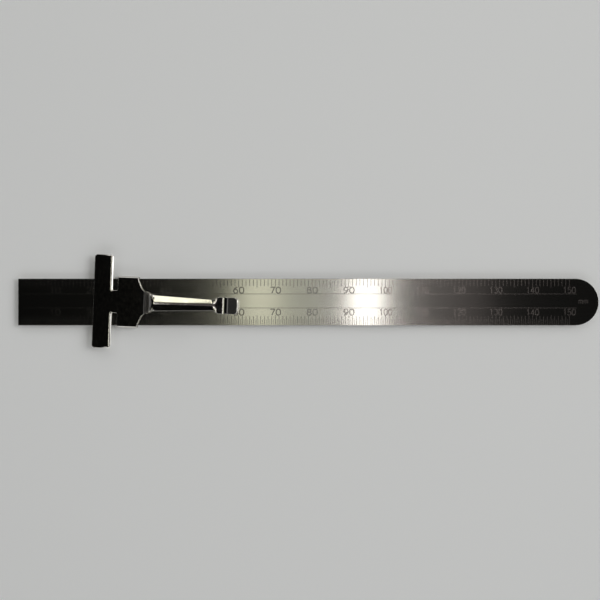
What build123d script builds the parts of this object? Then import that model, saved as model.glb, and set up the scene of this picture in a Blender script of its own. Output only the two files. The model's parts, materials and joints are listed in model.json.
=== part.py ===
from build123d import *

import os
from math import cos, radians, sin, tan

# Pocket steel rule with a sliding marking and depth head. Millimetres, +Z out of the graduated face.
# The origin is the centre of the rule's square zero end, halfway through its thickness; +X is the scale.
# The head is drawn in its own axes, u along it from its reference face and v across it, with z as the
# rule's, and is then turned by its skew and set down at its reading on the scale.

# Rule blade
SCALE_LENGTH = 150.0
BLANK_END = 8.0  # blade beyond the last graduation
RULE_WIDTH = 12.7
RULE_THICKNESS = 0.5

# Head: one stamping of plated sheet, stood where it reads 20.6 mm and turned within its side play
SHEET = 0.5
HEAD_READING = 20.6
HEAD_SKEW = -2.2  # degrees about Z
FRONT_GAP = 0.15  # between the blade's graduated face and the head
BACK_GAP = 0.10  # between the blade's back and the folded wings

# Crossbar and neck
BAR_DEPTH = 5.0
BAR_SPAN = 25.4
BAR_CORNER = 0.8
NECK_WIDTH = 6.1
NECK_FILLET = 0.4
EDGE_ROUND = 0.25  # rolled upper edge of the stamping

# Collar folded round the blade
COLLAR_START = 6.5
COLLAR_LENGTH = 5.5
COLLAR_INSIDE = 13.0
BEND_INSIDE = 0.15  # inside radius of the folds
WING_SLOT = 3.6  # between the two wings behind the blade

# Shoulders, from the collar's flat top down to the tongue's width
SHOULDER_HALF = 6.1
SHOULDER_WAIST = (13.0, 4.2)  # the point that each concave shoulder arc passes through
TONGUE_START = 15.6

# Spring tongue: half widths along it, and the middle line of the sheet seen from the side
ROOT_HALF = 2.1
TAPER_END = 32.8
TAPER_HALF = 1.4
TIP_START = 33.7
TIP_HALF = 2.25
TIP_CORNER = 1.1
TIP_END = 39.3
HINGE_U = 14.0  # root bend, where the tongue flexes
KNUCKLE_GAP = 0.1
HUMP = (16.2, 4.75)
HUMP_RADIUS = 1.2
KINK_HEIGHT = 1.15
KINK_RADIUS = 8.0
PRESS_U = 35.45  # where the curled tip presses on the blade
PRESS_RADIUS = 2.5
PRESS_GAP = 0.05
DIP_ANGLE = 18.0  # degrees, tongue going down to the tip
CURL_ANGLE = 34.0  # degrees, tip curling up again

# Worked out from these
FACE = RULE_THICKNESS / 2
PLATE_BOTTOM = FACE + FRONT_GAP
PLATE_MIDDLE = PLATE_BOTTOM + SHEET / 2
PLATE_TOP = PLATE_BOTTOM + SHEET
CAVITY_BOTTOM = -FACE - BACK_GAP
COLLAR_END = COLLAR_START + COLLAR_LENGTH
COLLAR_OUTSIDE = COLLAR_INSIDE + 2 * SHEET
COLLAR_CENTRE = COLLAR_START + COLLAR_LENGTH / 2
TALL = 20.0  # deeper than anything, for cutting outlines


def placed(shape):
    """A head part, moved from its own axes to the rule's, with the collar centred on the blade."""
    side_shift = -COLLAR_CENTRE * sin(radians(HEAD_SKEW))
    return Pos(HEAD_READING, side_shift, 0) * Rot(0, 0, HEAD_SKEW) * shape


def rule_blade():
    """Flat strip, square at zero and fully round at the far end."""
    straight = SCALE_LENGTH + BLANK_END - RULE_WIDTH / 2
    outline = Pos(straight / 2, 0) * Rectangle(straight, RULE_WIDTH)
    outline += Pos(straight, 0) * Circle(RULE_WIDTH / 2)
    return extrude(outline, RULE_THICKNESS / 2, both=True)


def crossbar():
    """T crossbar and neck, with rolled upper edges; the neck runs a little way into the collar."""
    neck_end = COLLAR_START + SHEET
    outline = Pos(BAR_DEPTH / 2, 0) * RectangleRounded(BAR_DEPTH, BAR_SPAN, BAR_CORNER)
    outline += Pos((BAR_DEPTH + neck_end) / 2, 0) * Rectangle(neck_end - BAR_DEPTH, NECK_WIDTH)
    inner = [v for v in outline.vertices() if abs(v.X - BAR_DEPTH) < 0.01 and abs(v.Y) < BAR_SPAN / 4]
    outline = fillet(inner, NECK_FILLET)
    plate = Pos(0, 0, PLATE_BOTTOM) * extrude(outline, SHEET)
    upper_edges = plate.faces().sort_by(Axis.Z)[-1].edges()
    return fillet(upper_edges, EDGE_ROUND)


def collar():
    """Channel round the blade: top, two folded sides, and a wing behind each edge."""
    height = PLATE_TOP - CAVITY_BOTTOM + SHEET
    cavity_height = PLATE_BOTTOM - CAVITY_BOTTOM
    cavity_middle = (PLATE_BOTTOM + CAVITY_BOTTOM) / 2
    section = RectangleRounded(COLLAR_OUTSIDE, height, BEND_INSIDE + SHEET)
    section -= RectangleRounded(COLLAR_INSIDE, cavity_height, BEND_INSIDE)
    section -= Pos(0, -height / 2) * Rectangle(WING_SLOT, height)
    start = Plane(origin=(COLLAR_START, 0, cavity_middle), x_dir=(0, 1, 0), z_dir=(1, 0, 0))
    return extrude(start * section, COLLAR_LENGTH)


def shoulder_and_tongue_outline():
    """Plan of everything beyond the collar: concave shoulders, tapering tongue, flared tip."""
    top = [
        ThreePointArc((COLLAR_END, SHOULDER_HALF), SHOULDER_WAIST, (TONGUE_START, ROOT_HALF)),
        Polyline(
            (TONGUE_START, ROOT_HALF),
            (TAPER_END, TAPER_HALF),
            (TIP_START, TIP_HALF),
            (TIP_END, TIP_HALF),
            (TIP_END, 0),
            (COLLAR_END, 0),
            (COLLAR_END, SHOULDER_HALF),
        ),
    ]
    half = make_face(Curve() + top)
    outline = half + mirror(half, about=Plane.XZ)
    corners = [v for v in outline.vertices() if abs(v.X - TIP_END) < 0.01 and abs(v.Y) > TIP_HALF - 0.01]
    return fillet(corners, TIP_CORNER)


def shoulders(outline):
    """The part of that outline lying flat, as far as the root bend, hollowed for the tongue's knuckle."""
    flat = outline & Pos((COLLAR_END + HINGE_U) / 2, 0) * Rectangle(HINGE_U - COLLAR_END, BAR_SPAN)
    flat += Pos(COLLAR_END - SHEET / 2, 0) * Rectangle(SHEET, 2 * SHOULDER_HALF)
    plate = Pos(0, 0, PLATE_BOTTOM) * extrude(flat, SHEET)
    return plate - knuckle(SHEET / 2 + KNUCKLE_GAP)


def knuckle(radius):
    """Cylinder along v at the root bend."""
    return Pos(HINGE_U, 0, PLATE_MIDDLE) * Rot(90, 0, 0) * Cylinder(radius, BAR_SPAN)


def tongue_line():
    """Middle line of the tongue's sheet in (u, z): up to the hump, down to the press point, up at the tip."""
    dip, curl = radians(DIP_ANGLE), radians(CURL_ANGLE)
    lowest = FACE + PRESS_GAP + SHEET / 2
    reach = PRESS_RADIUS * tan((dip + curl) / 2)
    valley_u = PRESS_U - PRESS_RADIUS * sin(dip) + reach * cos(dip)
    valley_z = lowest + PRESS_RADIUS * (1 - cos(dip)) - reach * sin(dip)
    kink_z = KINK_HEIGHT
    kink_u = valley_u - (kink_z - valley_z) / tan(dip)
    tip_u = TIP_END + SHEET
    tip_z = valley_z + (tip_u - valley_u) * tan(curl)
    points = [(HINGE_U, PLATE_MIDDLE), HUMP, (kink_u, kink_z), (valley_u, valley_z), (tip_u, tip_z)]
    return FilletPolyline(*points, radius=[HUMP_RADIUS, KINK_RADIUS, PRESS_RADIUS])


def clip_tongue(outline):
    """The bent ribbon of sheet, cut to the plan outline, with a round knuckle at its root."""
    ribbon = extrude(Plane.XZ * trace(tongue_line(), line_width=SHEET), BAR_SPAN / 2, both=True)
    ribbon += knuckle(SHEET / 2)
    return ribbon & extrude(outline, TALL, both=True)


def slide_body(outline):
    """Crossbar, neck, collar and shoulders in one piece."""
    return crossbar() + collar() + shoulders(outline)


outline = shoulder_and_tongue_outline()
parts = {
    "rule_blade": rule_blade(),
    "slide_body": placed(slide_body(outline)),
    "clip_tongue": placed(clip_tongue(outline)),
}

os.makedirs("parts", exist_ok=True)
for node, shape in parts.items():
    export_step(shape, f"parts/{node}.step")
    size = shape.bounding_box()
    print(node, len(shape.solids()), "solid", round(shape.volume, 2), "mm3", size.min, size.max)
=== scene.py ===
import json
from math import atan2, ceil, cos, exp, hypot, pi, radians, sin, sqrt, tan

import bpy
import numpy as np
from mathutils import Matrix, Vector
from mathutils.geometry import delaunay_2d_cdt


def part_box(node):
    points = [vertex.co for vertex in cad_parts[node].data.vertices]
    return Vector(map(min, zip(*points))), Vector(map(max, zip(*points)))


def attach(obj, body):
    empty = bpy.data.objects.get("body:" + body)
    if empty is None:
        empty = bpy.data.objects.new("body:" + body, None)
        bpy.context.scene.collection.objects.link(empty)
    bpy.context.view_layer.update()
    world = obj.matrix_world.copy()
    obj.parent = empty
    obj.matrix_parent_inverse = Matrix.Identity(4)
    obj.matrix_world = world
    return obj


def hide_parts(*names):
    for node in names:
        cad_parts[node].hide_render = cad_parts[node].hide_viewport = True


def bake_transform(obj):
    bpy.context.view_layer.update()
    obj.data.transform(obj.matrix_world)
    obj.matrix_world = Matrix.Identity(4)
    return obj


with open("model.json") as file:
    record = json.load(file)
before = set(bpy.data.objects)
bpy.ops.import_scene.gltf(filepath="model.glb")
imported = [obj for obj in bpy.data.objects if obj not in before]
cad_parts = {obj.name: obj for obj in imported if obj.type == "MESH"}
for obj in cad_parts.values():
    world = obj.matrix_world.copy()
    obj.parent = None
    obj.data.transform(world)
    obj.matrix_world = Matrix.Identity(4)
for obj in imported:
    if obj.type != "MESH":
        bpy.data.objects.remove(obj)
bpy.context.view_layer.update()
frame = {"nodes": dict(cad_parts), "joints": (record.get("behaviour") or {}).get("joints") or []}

# A pocket rule with a sliding head, drawn in millimetres and written to the scene in metres.
# The head has axes of its own: u along it from its reference face, v across it, z as the rule's.
MM = 0.001

# ---------------------------------------------------------------- places, from the frame
blade_low, blade_high = (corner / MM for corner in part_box("rule_blade"))
LENGTH = blade_high.x
WIDTH = blade_high.y - blade_low.y
THICKNESS = blade_high.z - blade_low.z
FACE = blade_high.z
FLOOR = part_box("slide_body")[0].z
PLATE_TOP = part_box("slide_body")[1].z / MM
flex = next(joint for joint in frame["joints"] if joint["name"] == "tongue_flex")
HINGE_U = 14.0
U_AXIS = Vector((-flex["axis"][1], flex["axis"][0], 0))
V_AXIS = Vector((-flex["axis"][0], -flex["axis"][1], 0))
HEAD_ORIGIN = Vector(flex["pos_m"]) / MM - U_AXIS * HINGE_U

# ---------------------------------------------------------------- edges of the sheet metal
# Upper edges are rolled by the punch: a radius, and the tilt of the surface where the roll ends
BAR_ROLL = (1.0, radians(41))  # wide and shallow, along the crossbar's inner side
PLAIN_ROLL = (0.11, radians(90))
TONGUE_ROLL = (0.08, radians(90))
UNDER_ROUND = 0.08
BLADE_ROUND = 0.06
ROLL_STEPS = 7
UNDER_STEPS = 3

# ---------------------------------------------------------------- the head's sheet
SHEET = 0.5
PLATE_MIDDLE = PLATE_TOP - SHEET / 2
BAR_DEPTH = 5.0
BAR_HALF = 12.7
BAR_ROLL_STARTS = (2.5, 4.6)  # from where to where along the head the wide roll grows in
BAR_ROLL_ENDS = (5.0, 5.4)
NECK_HALF = 3.05
COLLAR_START = 6.5
COLLAR_END = 12.0
FOLD_START = 6.35  # where the collar's flat top ends and the first fold begins
FOLD_RADIUS = 0.4
CAVITY_SIDE = 0.45  # straight side between the two folds
WING = 4.55
FOLD_ARC = FOLD_RADIUS * pi / 2
BLANK_HALF = FOLD_START + 2 * FOLD_ARC + CAVITY_SIDE + WING

# Tongue, seen from the side: corners (u, z) of the sheet's middle line, and the radii of its bends
FLAT_UNTIL = 8.0
HUMP = (16.2, 4.75)
ROOT_BEND = 0.9
HUMP_BEND = 1.2
KINK_HEIGHT = 1.15
KINK_BEND = 8.0
PRESS_U = 35.45
PRESS_BEND = 2.5
PRESS_GAP = 0.05
DIP = radians(18.0)
CURL = radians(34.0)
TIP_END = 39.3
CREASE = tan(radians(17.0))  # fall of the two facets on either side of the pressed crease
CREASE_ROUND = 0.25
CREASE_STARTS = (15.7, 17.2)
CREASE_ENDS = (31.9, 33.6)


def tongue_corners():
    """Corners (u, z, radius) of the sheet's middle line, from the flat plate to the curled tip."""
    lowest = FACE + PRESS_GAP + SHEET / 2
    reach = PRESS_BEND * tan((DIP + CURL) / 2)
    valley_u = PRESS_U - PRESS_BEND * sin(DIP) + reach * cos(DIP)
    valley_z = lowest + PRESS_BEND * (1 - cos(DIP)) - reach * sin(DIP)
    kink_u = valley_u - (KINK_HEIGHT - valley_z) / tan(DIP)
    end_u = TIP_END + 1
    end_z = valley_z + (end_u - valley_u) * tan(CURL)
    return [
        (FLAT_UNTIL, PLATE_MIDDLE, 0),
        (HINGE_U, PLATE_MIDDLE, ROOT_BEND),
        (*HUMP, HUMP_BEND),
        (kink_u, KINK_HEIGHT, KINK_BEND),
        (valley_u, valley_z, PRESS_BEND),
        (end_u, end_z, 0),
    ]


def bend_line(corners):
    """Straight and round stretches of an open line with rounded corners.

    Each is (start, direction, length, turn), and a straight one turns by 0.
    """
    stretches = []
    here = Vector(corners[0][:2])
    heading = 0.0
    for i in range(1, len(corners)):
        corner = Vector(corners[i][:2])
        heading = atan2(corner.y - here.y, corner.x - here.x)
        along = Vector((cos(heading), sin(heading)))
        if i == len(corners) - 1:
            stretches.append((here, heading, (corner - here).length, 0.0))
            break
        onward = Vector(corners[i + 1][:2]) - corner
        turn = atan2(onward.y, onward.x) - heading
        radius = corners[i][2]
        reach = radius * tan(abs(turn) / 2)
        straight = (corner - here).length - reach
        stretches.append((here, heading, straight, 0.0))
        start = here + along * straight
        stretches.append((start, heading, radius * abs(turn), turn))
        here = corner + onward.normalized() * reach
    return stretches


STRETCHES = bend_line(tongue_corners())


def on_line(distance):
    """(u, z, slope) at a distance along the tongue's middle line; on the flat plate the distance is u."""
    left = distance - FLAT_UNTIL
    for start, heading, length, turn in STRETCHES:
        if left <= length or (start, heading, length, turn) == STRETCHES[-1]:
            if not turn:
                return start.x + left * cos(heading), start.y + left * sin(heading), heading
            radius = length / abs(turn)
            side = 1 if turn > 0 else -1
            slope = heading + turn * left / length
            u = start.x + side * radius * (sin(slope) - sin(heading))
            z = start.y - side * radius * (cos(slope) - cos(heading))
            return u, z, slope
        left -= length


def distance_at(u):
    """Distance along the middle line at which it reaches u."""
    low, high = FLAT_UNTIL, 2 * TIP_END
    for _ in range(50):
        middle = (low + high) / 2
        if on_line(middle)[0] < u:
            low = middle
        else:
            high = middle
    return low


def smooth_step(value, start, end):
    """0 before start, 1 after end, and a smooth rise between them."""
    t = min(max((value - start) / (end - start), 0), 1)
    return t * t * (3 - 2 * t)


def head_middle(a, s):
    """Middle of the head's sheet, in its own axes, at a along and s across the flat blank."""
    if a > COLLAR_END:
        u, z, slope = on_line(a)
        depth = smooth_step(u, *CREASE_STARTS) * (1 - smooth_step(u, *CREASE_ENDS))
        fall = depth * CREASE * (sqrt(s * s + CREASE_ROUND**2) - CREASE_ROUND)
        return Vector((u + fall * sin(slope), s, z - fall * cos(slope)))
    side = 1 if s > 0 else -1
    past = abs(s) - FOLD_START
    if past <= 0 or a < (BAR_DEPTH + COLLAR_START) / 2:
        return Vector((a, s, PLATE_MIDDLE))
    if past <= FOLD_ARC:
        angle = past / FOLD_RADIUS
        across = FOLD_START + FOLD_RADIUS * sin(angle)
        return Vector((a, side * across, PLATE_MIDDLE - FOLD_RADIUS * (1 - cos(angle))))
    past -= FOLD_ARC
    first_side = PLATE_MIDDLE - FOLD_RADIUS
    if past <= CAVITY_SIDE:
        return Vector((a, side * (FOLD_START + FOLD_RADIUS), first_side - past))
    past -= CAVITY_SIDE
    second_side = first_side - CAVITY_SIDE
    if past <= FOLD_ARC:
        angle = past / FOLD_RADIUS
        across = FOLD_START + FOLD_RADIUS * cos(angle)
        return Vector((a, side * across, second_side - FOLD_RADIUS * sin(angle)))
    past -= FOLD_ARC
    return Vector((a, side * (FOLD_START - past), second_side - FOLD_RADIUS))


def head_to_rule(point):
    """A point in the head's own axes, in the rule's."""
    return HEAD_ORIGIN + U_AXIS * point.x + V_AXIS * point.y + Vector((0, 0, point.z - HEAD_ORIGIN.z))


def head_surface(a, s):
    return head_to_rule(head_middle(a, s))


def blade_surface(x, y):
    return Vector((x, y, FACE - THICKNESS / 2))


# ---------------------------------------------------------------- sheet metal as a mesh
def rounded_loop(corners, step):
    """Points and outward normals round an outline with rounded corners (x, y, radius).

    The outline runs counter-clockwise, with points at most step apart.
    """
    finest_turn = radians(12)
    arcs = []
    for i, (x, y, radius) in enumerate(corners):
        here = Vector((x, y))
        into = (here - Vector(corners[i - 1][:2])).normalized()
        out = (Vector(corners[(i + 1) % len(corners)][:2]) - here).normalized()
        turn = atan2(into.cross(out), into.dot(out))
        reach = radius * tan(abs(turn) / 2)
        arcs.append((here - into * reach, here + out * reach, atan2(into.y, into.x), turn, radius))
    loop = []
    for i, (start, end, heading, turn, radius) in enumerate(arcs):
        side = 1 if turn > 0 else -1
        first_out = Vector((sin(heading), -cos(heading)))
        centre = start - first_out * radius * side
        pieces = max(2, ceil(radius * abs(turn) / step), ceil(abs(turn) / finest_turn))
        for k in range(pieces + 1):
            angle = heading + turn * k / pieces
            outward = Vector((sin(angle), -cos(angle)))
            loop.append((centre + outward * radius * side, outward))
        onward = arcs[(i + 1) % len(arcs)][0] - end
        heading += turn
        outward = Vector((sin(heading), -cos(heading)))
        pieces = ceil(onward.length / step)
        for k in range(1, pieces):
            loop.append((end + onward * k / pieces, outward))
    return loop


def inside(points, loop, clearance):
    """The points that lie inside a closed loop, at least clearance away from it."""
    points = np.array(points)
    a = np.array([tuple(p) for p in loop])
    b = np.roll(a, -1, axis=0)
    kept = []
    for p in points:
        crosses = (a[:, 1] > p[1]) != (b[:, 1] > p[1])
        run = np.where(crosses, b[:, 1] - a[:, 1], 1.0)
        at = a[:, 0] + (p[1] - a[:, 1]) * (b[:, 0] - a[:, 0]) / run
        odd = np.count_nonzero(crosses & (at > p[0])) % 2
        if odd and np.min(np.hypot(a[:, 0] - p[0], a[:, 1] - p[1])) > clearance:
            kept.append(Vector(p))
    return kept


def sheet_frame(surface, a, s):
    """The surface's point and its unit directions along a, along s and straight out of it."""
    small = 1e-4
    along = surface(a + small, s) - surface(a - small, s)
    across = surface(a, s + small) - surface(a, s - small)
    normal = along.cross(across).normalized()
    return surface(a, s), along.normalized(), across.normalized(), normal


def edge_profile(thickness, roll, under_round):
    """Steps (outward, height, tilt of the normal) from the top face round the edge to the under face."""
    radius, final_tilt = roll
    width = radius * sin(final_tilt)
    profile = []
    for k in range(1, ROLL_STEPS + 1):
        tilt = final_tilt * k / ROLL_STEPS
        profile.append((radius * sin(tilt), thickness / 2 - radius * (1 - cos(tilt)), tilt))
    for k in range(UNDER_STEPS + 1):
        angle = pi / 2 * k / UNDER_STEPS
        outward = width - under_round * (1 - cos(angle))
        profile.append((outward, -thickness / 2 + under_round * (1 - sin(angle)), pi / 2 + angle))
    return profile


def pressed_sheet(name, corners, thickness, surface, grid, rounding, under_round, step, clearance):
    """A closed mesh of sheet metal over a flat blank, bent to a surface, with every edge rounded.

    The outline's points are step apart, the grid's points fill it up to clearance from its rim, and
    rounding(distance along the blank) gives the roll of the upper edge there.
    """
    loop = rounded_loop(corners, step)
    rolls = [rounding(point.x) for point, _ in loop]
    rim = [point - outward * radius * sin(tilt) for (point, outward), (radius, tilt) in zip(loop, rolls)]
    profiles = [edge_profile(thickness, roll, under_round) for roll in rolls]
    filling = inside(grid, rim, clearance)
    count = len(rim)
    edges = [(i, (i + 1) % count) for i in range(count)]
    flat, _, triangles, *_ = delaunay_2d_cdt(rim + filling, edges, [], 1, 1e-7)
    assert len(flat) == count + len(filling)

    points, normals, blank, faces = [], [], [], []
    frames = [sheet_frame(surface, p.x, p.y) for p in flat]
    for (centre, _, _, normal), p in zip(frames, flat):
        points.append(centre + normal * thickness / 2)
        normals.append(normal)
        blank.append(p)
    faces += [tuple(t) for t in triangles]
    ring = list(range(count))
    for k in range(len(profiles[0])):
        start = len(points)
        for (_, outward), base, profile, (_, along, across, _) in zip(loop, rim, profiles, frames):
            outward_by, height, tilt = profile[k]
            at = base + outward * outward_by
            centre, _, _, here = sheet_frame(surface, at.x, at.y)
            side = along * outward.x + across * outward.y
            side = (side - here * side.dot(here)).normalized()
            points.append(centre + here * height)
            normals.append(here * cos(tilt) + side * sin(tilt))
            blank.append(at)
        new_ring = list(range(start, start + count))
        faces += [(ring[i], new_ring[i], new_ring[j], ring[j]) for i, j in edges]
        ring = new_ring
    start = len(points)
    for (centre, _, _, normal), p in zip(frames, flat):
        points.append(centre - normal * thickness / 2)
        normals.append(-normal)
        blank.append(p)
    faces += [(ring[i], start + i, start + j, ring[j]) for i, j in edges]
    faces += [tuple(start + v for v in reversed(t)) for t in triangles]
    return finished_mesh(name, points, faces, normals, blank)


def finished_mesh(name, points, faces, normals=None, blank=None):
    """A mesh object in metres, with the given normals and its flat blank in millimetres as UV map."""
    mesh = bpy.data.meshes.new(name)
    mesh.from_pydata([tuple(p * MM) for p in points], [], faces)
    if blank:
        layer = mesh.uv_layers.new(name="blank")
        corner_vertex = np.empty(len(mesh.loops), np.int32)
        mesh.loops.foreach_get("vertex_index", corner_vertex)
        uv = np.array([(p[1], p[0]) for p in blank], np.float32)[corner_vertex]
        layer.data.foreach_set("uv", uv.ravel())
    if normals:
        mesh.shade_smooth()
        mesh.normals_split_custom_set_from_vertices([tuple(n) for n in normals])
    mesh.validate()
    piece = bpy.data.objects.new(name, mesh)
    bpy.context.scene.collection.objects.link(piece)
    return piece


# ---------------------------------------------------------------- the two metal pieces
def steps(start, end, step):
    """Evenly spaced values from start to end, about step apart."""
    pieces = max(1, round((end - start) / step))
    return [start + (end - start) * k / pieces for k in range(pieces + 1)]


def mirrored(half):
    """A closed outline from its lower half, given from left to right."""
    return half + [(x, -y, radius) for x, y, radius in reversed(half)]


def blade_rounding(x):
    return BLADE_ROUND, radians(90)


def make_blade():
    """Strip with a square zero end and a fully round far end."""
    corner, round_end = 0.12, WIDTH / 2 - 0.001
    margin, spacing = 1, 2
    outline = mirrored([(0, -WIDTH / 2, corner), (LENGTH, -WIDTH / 2, round_end)])
    across = steps(margin - WIDTH / 2, WIDTH / 2 - margin, spacing)
    grid = [(x, y) for x in steps(margin, LENGTH - margin, spacing) for y in across]
    rounds = blade_rounding, BLADE_ROUND
    return pressed_sheet(
        "blade", outline, THICKNESS, blade_surface, grid, *rounds, step=1.0, clearance=0.8
    )


def head_outline():
    """Flat blank of the stamping, from the crossbar to the tip: corners (along, across, radius)."""
    def at(u):
        return distance_at(u) if u > COLLAR_END else u

    return mirrored([
        (0, -BAR_HALF, 0.8),
        (BAR_DEPTH, -BAR_HALF, 0.8),
        (BAR_DEPTH, -NECK_HALF, 0.4),
        (COLLAR_START, -NECK_HALF, 0.4),
        (COLLAR_START, -BLANK_HALF, 0.4),
        (COLLAR_END, -BLANK_HALF, 0.4),
        (COLLAR_END, -6.25, 0.3),
        (at(13.3), -3.25, 1.5),
        (at(15.8), -2.1, 2.5),
        (at(32.7), -1.40, 1.0),
        (at(33.7), -2.25, 1.2),
        (at(TIP_END), -2.25, 1.15),
    ])


def both_sides(values):
    return [-value for value in reversed(values)] + [0.0] + values


def head_grid():
    """Points inside the blank: close together where it bends, wider apart where it is flat."""
    on_top, in_fold, on_side, on_wing = 0.3, 0.09, 0.2, 0.4
    along_bar, along_tongue = 0.35, 0.12
    fold_end = FOLD_START + FOLD_ARC
    second = fold_end + CAVITY_SIDE
    across = steps(on_top, FOLD_START, on_top) + steps(FOLD_START, fold_end, in_fold)[1:]
    across += steps(fold_end, second, on_side)[1:] + steps(second, second + FOLD_ARC, in_fold)[1:]
    across += steps(second + FOLD_ARC, BLANK_HALF, on_wing)[1:]
    grid = [(a, s) for a in steps(0, COLLAR_END, along_bar) for s in both_sides(across)]
    # Across the tongue, closest together at its crease
    narrow = [0.07, 0.15, 0.28, 0.5, 0.8, 1.1, 1.4, 1.7, 2.0, 2.4, 2.8, 3.2, 3.7, 4.3, 5.0]
    tongue = steps(COLLAR_END, distance_at(TIP_END), along_tongue)[1:]
    grid += [(a, s) for a in tongue for s in both_sides(narrow)]
    return grid


def head_rounding(a):
    """Radius and final tilt of the rolled upper edge at a along the blank."""
    bar = smooth_step(a, *BAR_ROLL_STARTS) * (1 - smooth_step(a, *BAR_ROLL_ENDS))
    tongue = smooth_step(a, COLLAR_END, HINGE_U)
    rolls = zip(PLAIN_ROLL, BAR_ROLL, TONGUE_ROLL)
    return tuple(plain + (wide - plain) * bar + (fine - plain) * tongue for plain, wide, fine in rolls)


def make_head():
    outline, grid = head_outline(), head_grid()
    return pressed_sheet(
        "head", outline, SHEET, head_surface, grid, head_rounding, UNDER_ROUND, step=0.15, clearance=0.1
    )


# ---------------------------------------------------------------- etched marks
MARK_RAISE = 0.008
MARK_SINK = 0.02
STROKE_LIFT = 0.002  # keeps two strokes that cross in one figure out of one plane


def box_mark(points, faces, x0, x1, y0, y1):
    """Adds one straight mark, a thin block let into the blade's face."""
    start = len(points)
    for z in (FACE - MARK_SINK, FACE + MARK_RAISE):
        points += [Vector((x, y, z)) for x, y in ((x0, y0), (x1, y0), (x1, y1), (x0, y1))]
    for face in ((3, 2, 1, 0), (4, 5, 6, 7), (0, 1, 5, 4), (1, 2, 6, 5), (2, 3, 7, 6), (3, 0, 4, 7)):
        faces.append(tuple(start + v for v in face))


def stroke_mark(points, faces, line, width, closed, lift):
    """Adds one bent mark of constant width along a line of points, its top raised by lift."""
    start, count = len(points), len(line)
    for i, here in enumerate(line):
        before = line[i - 1] if closed or i else here
        after = line[(i + 1) % count] if closed or i < count - 1 else here
        into, out = (here - before), (after - here)
        into = into.normalized() if into.length else out.normalized()
        out = out.normalized() if out.length else into
        middle = (into + out).normalized()
        side = Vector((-middle.y, middle.x)) * (width / 2 / max(middle.dot(into), 0.5))
        for z in (FACE - MARK_SINK, FACE + MARK_RAISE + lift):
            points.append(Vector((*(here - side), z)))
            points.append(Vector((*(here + side), z)))
    for i in range(count if closed else count - 1):
        a, b = start + 4 * i, start + 4 * ((i + 1) % count)
        faces += [(a + 2, b + 2, b + 3, a + 3), (a + 1, b + 1, b, a)]
        faces += [(a, b, b + 2, a + 2), (a + 3, b + 3, b + 1, a + 1)]
    if not closed:
        end = start + 4 * (count - 1)
        faces += [(start, start + 2, start + 3, start + 1), (end + 1, end + 3, end + 2, end)]


def arc(cx, cy, rx, ry, start, end):
    """Points of a stroke on an ellipse, angles in degrees."""
    pieces = max(4, ceil(abs(end - start) / 20))
    angles = [radians(start + (end - start) * k / pieces) for k in range(pieces + 1)]
    return [(cx + rx * cos(t), cy + ry * sin(t)) for t in angles]


# Strokes of each figure in a cell 1 high and CELL_WIDTH wide, as a thin engraved face draws them
CELL_WIDTH = 0.62
FIGURES = {
    "0": [arc(0.31, 0.66, 0.31, 0.34, 0, 180) + arc(0.31, 0.34, 0.31, 0.34, 180, 360) + [(0.62, 0.66)]],
    "1": [[(0.12, 0.78), (0.34, 1.0), (0.34, 0.0)]],
    "2": [arc(0.31, 0.70, 0.29, 0.30, 165, -35) + [(0.02, 0.0), (0.62, 0.0)]],
    "3": [arc(0.30, 0.75, 0.26, 0.25, 150, -90) + arc(0.30, 0.26, 0.31, 0.26, 80, -150)],
    "4": [[(0.46, 0.0), (0.46, 0.95)], [(0.46, 1.0), (0.0, 0.28), (0.62, 0.28)]],
    "5": [[(0.56, 1.0), (0.1, 1.0), (0.06, 0.54)] + arc(0.29, 0.32, 0.32, 0.32, 125, -145)],
    "6": [arc(0.31, 0.31, 0.30, 0.31, 180, -180), arc(0.62, 0.31, 0.61, 0.69, 180, 95)],
    "7": [[(0.0, 1.0), (0.62, 1.0), (0.22, 0.0)]],
    "8": [arc(0.31, 0.76, 0.25, 0.24, 270, -90), arc(0.31, 0.26, 0.31, 0.26, 90, -270)],
    "9": [arc(0.31, 0.69, 0.30, 0.31, 0, 360), arc(0.0, 0.69, 0.61, 0.69, 0, -85)],
    "m": [[(0.0, 0.0), (0.0, 0.62)], arc(0.16, 0.42, 0.16, 0.2, 180, 0) + [(0.32, 0.0)],
          arc(0.48, 0.42, 0.16, 0.2, 180, 0) + [(0.64, 0.0)]],
}


def write(points, faces, text, x, y, height, cell, pitch, width):
    """Adds a number or a unit, centred on x, standing on y; pitch is from one sign to the next."""
    left = x - (pitch * (len(text) - 1) + cell) / 2
    for place, sign in enumerate(text):
        for k, stroke in enumerate(FIGURES[sign]):
            corner = left + place * pitch
            line = [Vector((corner + px / CELL_WIDTH * cell, y + py * height)) for px, py in stroke]
            closed = (line[0] - line[-1]).length < 0.01
            stroke_mark(points, faces, line[:-1] if closed else line, width, closed, k * STROKE_LIFT)


SCALE = 150
EDGE = WIDTH / 2
EDGE_GAP = 0.1  # bare metal between a tick and the blade's edge
LINE_WIDTH = 0.17
HALF_LINE_WIDTH = 0.119
UPPER_TICKS = (2.0, 2.4)  # reach from the edge of a millimetre, and of a fifth one
LOWER_TICKS = (2.5, 2.75)
HALF_TICK = 1.65


def make_scales():
    """Millimetres along the upper edge, half millimetres along the lower one."""
    points, faces = [], []
    for mark in range(1, SCALE + 1):
        fifth = mark % 5 == 0
        left, right = mark - LINE_WIDTH / 2, mark + LINE_WIDTH / 2
        box_mark(points, faces, left, right, EDGE - UPPER_TICKS[fifth], EDGE - EDGE_GAP)
        box_mark(points, faces, left, right, -EDGE + EDGE_GAP, -EDGE + LOWER_TICKS[fifth])
        left, right = mark - 0.5 - HALF_LINE_WIDTH / 2, mark - 0.5 + HALF_LINE_WIDTH / 2
        box_mark(points, faces, left, right, -EDGE + EDGE_GAP, -EDGE + HALF_TICK)
    return finished_mesh("graduations", points, faces)


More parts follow.
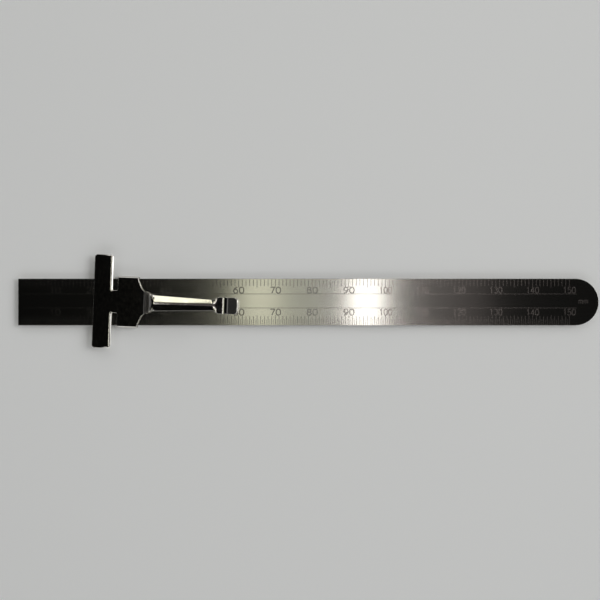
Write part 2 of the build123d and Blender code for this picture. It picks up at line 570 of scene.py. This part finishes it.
def make_numbers():
    """Every tenth millimetre's number on both scales, narrower with three figures, and the unit."""
    points, faces = [], []
    height, stroke = 1.62, 0.29
    for mark in range(10, SCALE + 1, 10):
        text = str(mark)
        cell, pitch = (1.15, 1.6) if len(text) == 2 else (0.85, 1.2)
        for foot in (2.42, -3.58):
            write(points, faces, text, mark, foot, height, cell, pitch, stroke)
    write(points, faces, "mm", LENGTH - 4.2, -0.4, height=1.5, cell=1.0, pitch=1.4, width=0.2)
    return finished_mesh("numbers", points, faces)


def make_band_lines():
    """Two fine lines along the blade that frame its plain middle band."""
    points, faces = [], []
    first, last, half = 1.0, SCALE + 2.0, 0.07
    for y in (2.2, -1.62):
        box_mark(points, faces, first, last, y - half, y + half)
    return finished_mesh("band_lines", points, faces)


# ---------------------------------------------------------------- materials
def new_material(name, color, metallic, roughness):
    material = bpy.data.materials.new(name)
    material.use_nodes = True
    shader = material.node_tree.nodes["Principled BSDF"]
    shader.inputs["Base Color"].default_value = (*color, 1)
    shader.inputs["Metallic"].default_value = metallic
    shader.inputs["Roughness"].default_value = roughness
    return material, shader


def noise(material, scale, detail, stretch=(1, 1, 1)):
    """Noise over the object, scale cycles a metre, finer or coarser along each axis by stretch."""
    nodes, links = material.node_tree.nodes, material.node_tree.links
    place = nodes.new("ShaderNodeTexCoord")
    mapping = nodes.new("ShaderNodeMapping")
    texture = nodes.new("ShaderNodeTexNoise")
    mapping.inputs["Scale"].default_value = stretch
    texture.inputs["Scale"].default_value = scale
    texture.inputs["Detail"].default_value = detail
    links.new(place.outputs["Object"], mapping.inputs["Vector"])
    links.new(mapping.outputs["Vector"], texture.inputs["Vector"])
    return texture.outputs["Fac"]


def ranged(material, value, low, high):
    """A noise value, most of which lies between 0.3 and 0.7, spread over low to high."""
    node = material.node_tree.nodes.new("ShaderNodeMapRange")
    node.inputs["From Min"].default_value = 0.3
    node.inputs["From Max"].default_value = 0.7
    node.inputs["To Min"].default_value = low
    node.inputs["To Max"].default_value = high
    material.node_tree.links.new(value, node.inputs["Value"])
    return node.outputs["Result"]


def along_blade(material, start, end):
    """A value rising from 0 to 1 between two distances from the zero end."""
    nodes, links = material.node_tree.nodes, material.node_tree.links
    place = nodes.new("ShaderNodeTexCoord")
    split = nodes.new("ShaderNodeSeparateXYZ")
    rise = nodes.new("ShaderNodeMapRange")
    rise.inputs["From Min"].default_value = start
    rise.inputs["From Max"].default_value = end
    links.new(place.outputs["Object"], split.inputs["Vector"])
    links.new(split.outputs["X"], rise.inputs["Value"])
    return rise.outputs["Result"]


def bumped(material, shader, value, strength, distance):
    """A value as fine relief, distance metres high."""
    node = material.node_tree.nodes.new("ShaderNodeBump")
    node.inputs["Strength"].default_value = strength
    node.inputs["Distance"].default_value = distance
    material.node_tree.links.new(value, node.inputs["Height"])
    material.node_tree.links.new(node.outputs["Normal"], shader.inputs["Normal"])


def tinted(material, shader, value, first, second):
    """The base colour, mixed between two by a value."""
    node = material.node_tree.nodes.new("ShaderNodeMix")
    node.data_type = "RGBA"
    colours = [socket for socket in node.inputs if socket.type == "RGBA"]
    colours[0].default_value = (*first, 1)
    colours[1].default_value = (*second, 1)
    material.node_tree.links.new(value, node.inputs["Factor"])
    result = next(socket for socket in node.outputs if socket.type == "RGBA")
    material.node_tree.links.new(result, shader.inputs["Base Color"])


def satin_steel():
    """Stainless steel with a fine grain along the blade and faint clouds in its tone."""
    material, shader = new_material("satin_steel", (0.58, 0.57, 0.53), 1.0, 0.33)
    shader.inputs["Anisotropic"].default_value = 0.4
    tangent = material.node_tree.nodes.new("ShaderNodeTangent")
    tangent.direction_type = "UV_MAP"
    tangent.uv_map = "blank"
    material.node_tree.links.new(tangent.outputs["Tangent"], shader.inputs["Tangent"])
    grain = noise(material, 1000, 4, (0.03, 2.5, 1))
    clouds = noise(material, 55, 3)
    tinted(material, shader, ranged(material, clouds, 0, 1), (0.60, 0.59, 0.55), (0.52, 0.51, 0.475))
    material.node_tree.links.new(ranged(material, grain, 0.152, 0.160), shader.inputs["Roughness"])
    bumped(material, shader, grain, 0.01, 0.00001)
    return material


def bright_plating():
    """Polished plating over a pressing: nearly a mirror, with a faint ripple and fine wear."""
    material, shader = new_material("bright_plating", (0.66, 0.64, 0.60), 1.0, 0.1)
    ripple = noise(material, 420, 2)
    haze = noise(material, 2200, 5, (1, 0.35, 1))
    tinted(material, shader, ranged(material, ripple, 0, 1), (0.68, 0.66, 0.62), (0.60, 0.585, 0.55))
    material.node_tree.links.new(ranged(material, haze, 0.07, 0.14), shader.inputs["Roughness"])
    bumped(material, shader, ripple, 0.04, 0.0001)
    return material


def etched():
    """Matte dark grey of an etched and blackened mark, with painted light making it lighter along the
    outer half.
    """
    material, shader = new_material("etched_grey", (0.25, 0.24, 0.23), 1.0, 0.245)
    # Painted light: the marks turn lighter from 80 to 106 mm along the blade, standing in for how they
    # show lighter beyond the bright band
    painted_light_rise = along_blade(material, 0.080, 0.106)
    tinted(material, shader, painted_light_rise, (0.24, 0.23, 0.22), (0.44, 0.40, 0.38))
    speckle = noise(material, 5000, 3)
    material.node_tree.links.new(ranged(material, speckle, 0.235, 0.255), shader.inputs["Roughness"])
    return material


def paper():
    """Matte, nearly white floor."""
    material, shader = new_material("pale_floor", (0.93, 0.94, 0.94), 0.0, 0.9)
    shader.inputs["Specular IOR Level"].default_value = 0.1
    return material


# ---------------------------------------------------------------- studio
def make_floor():
    """Plain floor under the head's wings, wide enough to reach the horizon in low views."""
    half = 6000.0
    signs = ((-1, -1), (1, -1), (1, 1), (-1, 1))
    corners = [Vector((x * half, y * half, FLOOR / MM)) for x, y in signs]
    floor = finished_mesh("floor", corners, [(0, 1, 2, 3)])
    floor.data.materials.append(paper())


STRIP_HEIGHT = 0.40
STRIP_LENGTH = 0.30


def area_light(name, place, target, size, radiance, color=(1, 1, 1)):
    """A soft rectangle of light, as bright as radiance wherever it is mirrored."""
    light = bpy.data.lights.new(name, "AREA")
    light.shape = "RECTANGLE"
    light.size, light.size_y = size
    light.energy = 4 * radiance * size[0] * size[1]
    light.color = color
    lamp = bpy.data.objects.new(name, light)
    lamp.location = place
    lamp.rotation_euler = (Vector(target) - Vector(place)).to_track_quat("-Z", "Y").to_euler()
    bpy.context.scene.collection.objects.link(lamp)


def strip_light(name, x, width, radiance, color):
    """A strip across the blade, straight above x, that shows as a zone of tone along it."""
    area_light(name, (x, 0, STRIP_HEIGHT), (x, 0, 0), (width, STRIP_LENGTH), radiance, color)


def make_lights():
    strip_light("band_light", 0.1235, 0.0185, 3.7, (1.0, 0.97, 0.95))
    strip_light("right_of_band", 0.177, 0.065, 0.065, (1.0, 0.88, 0.88))
    strip_light("left_of_band", 0.079, 0.03, 0.37, (0.98, 1.0, 0.86))
    strip_light("olive_light", 0.047, 0.028, 1.0, (1.0, 1.0, 0.80))
    # For the tongue's upper facet, and for the rolled edge of the crossbar
    area_light("window", (0.168, 0.28, 0.40), (0.045, 0, 0), (0.085, 0.13), 1.5, (1.0, 0.985, 0.80))
    area_light("softbox", (1.84, 0.44, 1.2), (0.02, 0, 0), (1.12, 1.3), 2.4)


def make_world():
    """A plain room: dark overhead, brightest below that, softer at the horizon, shaded towards -X."""
    world = bpy.data.worlds.new("studio")
    bpy.context.scene.world = world
    world.use_nodes = True
    nodes, links = world.node_tree.nodes, world.node_tree.links
    background = nodes["Background"]
    place = nodes.new("ShaderNodeTexCoord")
    parts = nodes.new("ShaderNodeSeparateXYZ")
    ramp = nodes.new("ShaderNodeValToRGB")
    heights = ramp.color_ramp.elements
    heights[0].color = (0.38, 0.39, 0.39, 1)
    heights[1].position = 0.68
    heights[1].color = (0.002, 0.002, 0.002, 1)
    for height, brightness in ((0.12, 0.55), (0.30, 0.95), (0.45, 1.40)):
        heights.new(height).color = (brightness, brightness, brightness, 1)
    shade = nodes.new("ShaderNodeMapRange")
    shade.inputs["From Min"].default_value = -0.90
    shade.inputs["From Max"].default_value = -0.68
    shade.inputs["To Min"].default_value = 0.03
    links.new(place.outputs["Generated"], parts.inputs["Vector"])
    links.new(parts.outputs["Z"], ramp.inputs["Fac"])
    links.new(ramp.outputs["Color"], background.inputs["Color"])
    links.new(parts.outputs["X"], shade.inputs["Value"])
    links.new(shade.outputs["Result"], background.inputs["Strength"])


def plain_colours():
    """Colours as a plain photograph shows them, with no film look."""
    bpy.context.scene.view_settings.view_transform = "Standard"


def make_camera():
    """Straight above the blade, a little left of its middle, as a hand-held camera would be."""
    height = 250.0
    frame_width = 163.27
    left_of_middle, aside = 2.3, 0.55
    camera = bpy.data.cameras.new("camera")
    camera.sensor_width = 36.0
    camera.lens = camera.sensor_width * height / frame_width
    camera.clip_start = 0.01
    holder = bpy.data.objects.new("camera", camera)
    holder.location = Vector((LENGTH / 2 - left_of_middle, aside, FACE + height)) * MM
    bpy.context.scene.collection.objects.link(holder)
    bpy.context.scene.camera = holder


# ---------------------------------------------------------------- assembly
steel = satin_steel()
plating = bright_plating()
grey = etched()
for node, material in (("rule_blade", steel), ("slide_body", plating), ("clip_tongue", plating)):
    frame["nodes"][node].data.materials.clear()
    frame["nodes"][node].data.materials.append(material)

blade = make_blade()
blade.data.materials.append(steel)
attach(blade, "rule")
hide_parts("rule_blade")

for marks in (make_scales(), make_numbers(), make_band_lines()):
    marks.data.materials.append(grey)
    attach(marks, "rule")

head = make_head()
head.data.materials.append(plating)
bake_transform(head)
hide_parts("slide_body", "clip_tongue")

make_floor()
make_lights()
make_world()
plain_colours()
make_camera()
